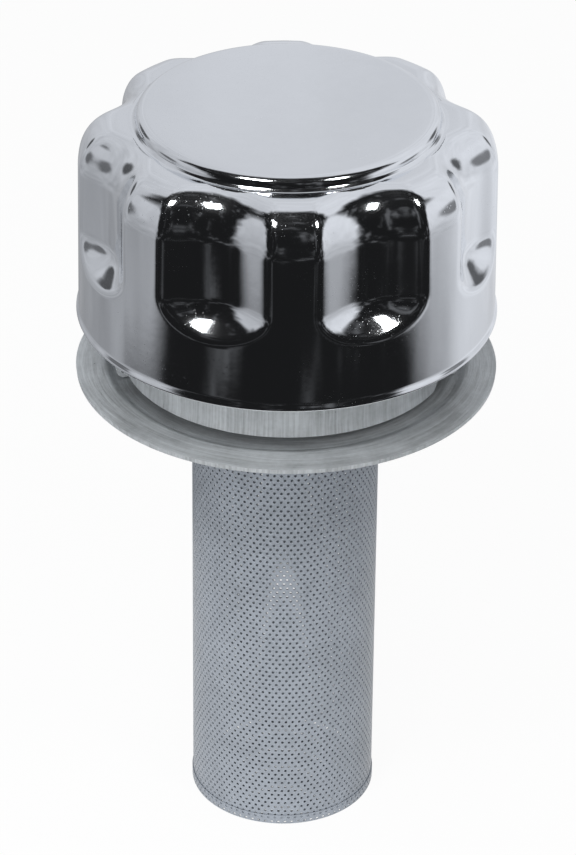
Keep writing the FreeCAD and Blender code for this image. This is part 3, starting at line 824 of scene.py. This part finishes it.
class VENTCAP_OT_basket_wall(bpy.types.Operator):
    """Rolls the basket's tube from sheet with rows of fine holes"""
    bl_idname = "ventcap.basket_wall"
    bl_label = "Basket wall"

    def execute(self, context):
        basket = context.scene.ventcap_basket
        steel = bpy.data.materials["mesh_steel_finish"]
        tree = perforated_wall_tree()
        lowest = basket.bottom + basket.sheet + CORNER
        rows = int((basket.top - lowest) / basket.row_height)
        row_height = (basket.top - lowest) / rows
        # Three walls, one above the other. An even count of rows carries the stagger on into the next
        third = rows // 6 * 2
        counts = (third, third, rows - 2 * third)
        for name, count in zip(("basket_wall_low", "basket_wall_middle", "basket_wall_high"), counts):
            values = {
                "Columns": basket.columns, "Rows": count, "Row Height": row_height,
                "Hole Radius": basket.hole_radius, "Sheet Radius": basket.radius, "Lowest Edge": lowest,
            }
            wall = built(name, tree, values, steel, thickness=basket.sheet * SHOWN_SHARE)
            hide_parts("basket_tube")
            lowest += count * row_height
        return {"FINISHED"}


class VENTCAP_OT_basket_floor(bpy.types.Operator):
    """Makes the basket's perforated floor and the rim crimped round the tube"""
    bl_idname = "ventcap.basket_floor"
    bl_label = "Basket floor"

    def execute(self, context):
        basket = context.scene.ventcap_basket
        steel = bpy.data.materials["mesh_steel_finish"]
        edge = basket.crimp_radius - CORNER
        crimp = built("basket_crimp", bpy.data.node_groups["perforated_wall"], {
            "Columns": basket.columns, "Rows": 2, "Row Height": basket.row_height,
            "Hole Radius": basket.hole_radius, "Sheet Radius": basket.crimp_radius,
            "Lowest Edge": basket.bottom + CORNER,
        }, steel, thickness=basket.crimp_radius - basket.radius)
        floor = built("basket_floor_sheet", perforated_floor_tree(), {
            "Pitch": FLOOR_PITCH, "Row Height": basket.row_height, "Hole Radius": basket.hole_radius,
            "Field Radius": edge - FIELD_INSET, "Edge Radius": edge - EDGE_INSET, "Level": basket.bottom,
        }, steel, thickness=basket.sheet * SHOWN_SHARE)
        for piece in (crimp, floor):
            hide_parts("basket_floor")
        return {"FINISHED"}


class VENTCAP_OT_stage(bpy.types.Operator):
    """Sets up the floor, the soft studio light and the camera"""
    bl_idname = "ventcap.stage"
    bl_label = "Stage"

    def execute(self, context):
        level = packed_box[0].z
        pale_floor(level)
        light_tent(level)
        studio_light()
        studio_world(context.scene)
        studio_camera(context.scene, context.scene.ventcap_stage)
        context.scene.view_settings.view_transform = "Standard"
        return {"FINISHED"}


def stage_mesh(name, corners, faces, material):
    """An object of the stage, from its corners and faces."""
    mesh = bpy.data.meshes.new(name)
    mesh.from_pydata(corners, [], faces)
    mesh.materials.append(material)
    piece = bpy.data.objects.new(name, mesh)
    bpy.context.scene.collection.objects.link(piece)
    return piece


def pale_floor(level):
    """A pale floor that stays white behind the object and keeps its soft shadow."""
    material = bpy.data.materials.new("floor_white")
    material.use_nodes = True
    tree = material.node_tree
    surface = tree.nodes["Principled BSDF"]
    surface.inputs["Base Color"].default_value = (0.82, 0.82, 0.82, 1.0)
    surface.inputs["Roughness"].default_value = 0.8
    glow = tree.nodes.new("ShaderNodeEmission")
    blend = tree.nodes.new("ShaderNodeMixShader")
    path = tree.nodes.new("ShaderNodeLightPath")
    seen = reckon(tree, "MAXIMUM", Amount(tree, path.outputs["Is Camera Ray"]),
                  Amount(tree, path.outputs["Is Transmission Ray"]))
    seen = reckon(tree, "MAXIMUM", seen, Amount(tree, path.outputs["Is Glossy Ray"])) * FLOOR_WHITE
    tree.links.new(seen.socket, blend.inputs[0])
    tree.links.new(surface.outputs[0], blend.inputs[1])
    tree.links.new(glow.outputs[0], blend.inputs[2])
    tree.links.new(blend.outputs[0], tree.nodes["Material Output"].inputs["Surface"])
    corners = [(x * FLOOR_HALF, y * FLOOR_HALF, level) for x, y in ((-1, -1), (1, -1), (1, 1), (-1, 1))]
    stage_mesh("stage_floor", corners, [(0, 1, 2, 3)], material)


def tent_light(tree, place):
    """How bright the tent is: dark in front, round the photographer, pale at its sides, back and top, with
    soft folds all over and a few dark gaps, which show as spots in the side flutes."""
    x, y, z = parts_of(tree, place)
    folds = noise(tree, place, 7.0, 2.0, 0.5) - 0.5
    seams = noise(tree, as_vector(tree, x * 9.0, y * 9.0, z * 1.6), 1.0, 3.0, 0.6) - 0.5
    aside = reckon(tree, "ABSOLUTE", x)
    front, height = y * -1.0, z - TENT_MIDDLE
    turn = reckon(tree, "ARCTAN2", x, front)
    rise = reckon(tree, "ARCTAN2", height, reach_of(tree, x, y)) + folds * RISE_WAVES
    over = reckon(tree, "ARCTAN2", height, front) + folds * OVER_WAVES
    wide = reckon(tree, "ARCTAN2", aside, reach_of(tree, front, height)) + folds * SIDE_WAVES

    side = step_in_degrees(tree, wide, *SIDE_EDGE)
    back = reckon(tree, "MAXIMUM", step_in_degrees(tree, over, *OVER_EDGE),
                  step_in_degrees(tree, over * -1.0, *UNDER_EDGE))
    low = step_in_degrees(tree, rise * -1.0, *LOW_EDGE)
    dark = soft_step(tree, seams, *SEAM_GLEAM) * DARK_GLEAM + DARK_CLOTH
    pale = step_in_degrees(tree, rise, *RISE_EDGE) * PALE_RISE + PALE_CLOTH
    pale = pale + step_in_degrees(tree, turn, *RIGHT_EDGE) * low * PALE_LOW_RIGHT
    pale = pale + seams * SEAM_SHADE + x * PALE_ACROSS
    light = dark + (pale - dark) * reckon(tree, "MAXIMUM", side, back)
    for centre, (start, end), waviness, darkest in TENT_GAPS:
        away = reach_of(tree, aside - centre[0], y - centre[1], z - centre[2]) + folds * waviness
        light = light * (soft_step(tree, away, start, end) * (1.0 - darkest) + darkest)
    return light


def light_tent(level):
    """A tent of lit cloth round the object that only reflections see."""
    material = bpy.data.materials.new("tent_cloth")
    material.use_nodes = True
    tree = material.node_tree
    tree.nodes.remove(tree.nodes["Principled BSDF"])
    glow = tree.nodes.new("ShaderNodeEmission")
    tree.links.new(glow.outputs[0], tree.nodes["Material Output"].inputs["Surface"])
    light = tent_light(tree, object_place(tree))
    tint = tree.nodes.new("ShaderNodeCombineColor")
    for socket, share in zip(tint.inputs, TENT_TINT):
        feed(tree, socket, light * share)
    tree.links.new(tint.outputs[0], glow.inputs["Color"])

    # Radius and height of each ring of the cloth, from the floor up to the peak
    profile = ((0.1, level + TENT_LIFT), (0.5, level + TENT_LIFT), (0.6, -0.02), (0.66, 0.1), (0.66, 0.3),
               (0.58, 0.52), (0.44, 0.7), (0.25, 0.83), (0.0, 0.88))
    count = len(profile)
    corners, faces = [], []
    for step in range(TENT_SIDES):
        angle = math.tau * step / TENT_SIDES
        corners += [(reach * math.sin(angle), -reach * math.cos(angle), up) for reach, up in profile]
        here, after = step * count, (step + 1) % TENT_SIDES * count
        faces += [(here + row, here + row + 1, after + row + 1, after + row) for row in range(count - 1)]
    tent = stage_mesh("stage_tent", corners, faces, material)
    tent.visible_camera = False
    tent.visible_diffuse = False
    tent.visible_shadow = False
    tent.visible_transmission = False


def soft_lamp(name, place, aim, width, height, power, mirrored):
    lamp = bpy.data.lights.new(name, "AREA")
    lamp.shape = "RECTANGLE"
    lamp.size = width
    lamp.size_y = height
    lamp.energy = power
    holder = bpy.data.objects.new(name, lamp)
    bpy.context.scene.collection.objects.link(holder)
    holder.location = place
    holder.rotation_euler = (Vector(aim) - Vector(place)).to_track_quat("-Z", "Y").to_euler()
    holder.visible_glossy = mirrored


def studio_light():
    """A broad lamp overhead, two fills in front and two small lamps above the object for the glints."""
    for lamp in LAMPS:
        soft_lamp(*lamp)


def studio_world(scene):
    """A white surround for the camera, a light grey one for reflections and plain light for the rest."""
    world = bpy.data.worlds.new("studio")
    scene.world = world
    world.use_nodes = True
    tree = world.node_tree
    plain = tree.nodes["Background"]
    mirrored = tree.nodes.new("ShaderNodeBackground")
    white = tree.nodes.new("ShaderNodeBackground")
    for node, (colour, strength) in ((plain, WORLD_PLAIN), (mirrored, WORLD_MIRRORED), (white, WORLD_SEEN)):
        node.inputs["Color"].default_value = colour
        node.inputs["Strength"].default_value = strength
    path = tree.nodes.new("ShaderNodeLightPath")
    first = tree.nodes.new("ShaderNodeMixShader")
    second = tree.nodes.new("ShaderNodeMixShader")
    for mix, ray, missed, met in ((first, "Is Glossy Ray", plain, mirrored),
                                  (second, "Is Camera Ray", first, white)):
        tree.links.new(path.outputs[ray], mix.inputs[0])
        tree.links.new(missed.outputs[0], mix.inputs[1])
        tree.links.new(met.outputs[0], mix.inputs[2])
    tree.links.new(second.outputs[0], tree.nodes["World Output"].inputs["Surface"])


def studio_camera(scene, stage):
    camera = bpy.data.cameras.new("camera")
    camera.lens = stage.lens
    camera.sensor_width = 36.0
    camera.shift_x = stage.side_shift
    camera.clip_start = 0.05
    camera.clip_end = 50.0
    holder = bpy.data.objects.new("camera", camera)
    scene.collection.objects.link(holder)
    back = Vector((0.0, -math.cos(stage.camera_elevation), math.sin(stage.camera_elevation)))
    place = Vector((0.0, 0.0, stage.aim_height)) + back * stage.camera_distance
    turned = (-back).to_track_quat("-Z", "Y").to_matrix().to_4x4() @ Matrix.Rotation(stage.roll, 4, "Z")
    holder.matrix_world = Matrix.Translation(place) @ turned
    scene.camera = holder


class VENTCAP_PT_panel(bpy.types.Panel):
    """Lists the steps that build the vent cap"""
    bl_idname = "VENTCAP_PT_panel"
    bl_label = "Vent cap"
    bl_space_type = "VIEW_3D"
    bl_region_type = "UI"
    bl_category = "Vent cap"

    def draw(self, context):
        for step in STEPS:
            self.layout.operator(step.bl_idname)
        for _, group in GROUPS:
            settings = getattr(context.scene, group)
            for name in settings.__annotations__:
                self.layout.prop(settings, name)


GROUPS = (
    (CapSizes, "ventcap_cap"), (BasketSizes, "ventcap_basket"), (Finishes, "ventcap_finishes"),
    (StageSettings, "ventcap_stage"),
)
STEPS = (
    VENTCAP_OT_effects, VENTCAP_OT_finishes, VENTCAP_OT_cap, VENTCAP_OT_basket_wall, VENTCAP_OT_basket_floor,
    VENTCAP_OT_stage,
)


def register():
    for group, name in GROUPS:
        bpy.utils.register_class(group)
        setattr(bpy.types.Scene, name, PointerProperty(type=group))
    for step in STEPS:
        bpy.utils.register_class(step)
    bpy.utils.register_class(VENTCAP_PT_panel)


def unregister():
    bpy.utils.unregister_class(VENTCAP_PT_panel)
    for step in reversed(STEPS):
        bpy.utils.unregister_class(step)
    for group, name in reversed(GROUPS):
        delattr(bpy.types.Scene, name)
        bpy.utils.unregister_class(group)


def main():
    register()
    bpy.ops.ventcap.effects()
    bpy.ops.ventcap.finishes()
    bpy.ops.ventcap.cap()
    bpy.ops.ventcap.basket_wall()
    bpy.ops.ventcap.basket_floor()
    bpy.ops.ventcap.stage()


if __name__ == "__main__":
    main()
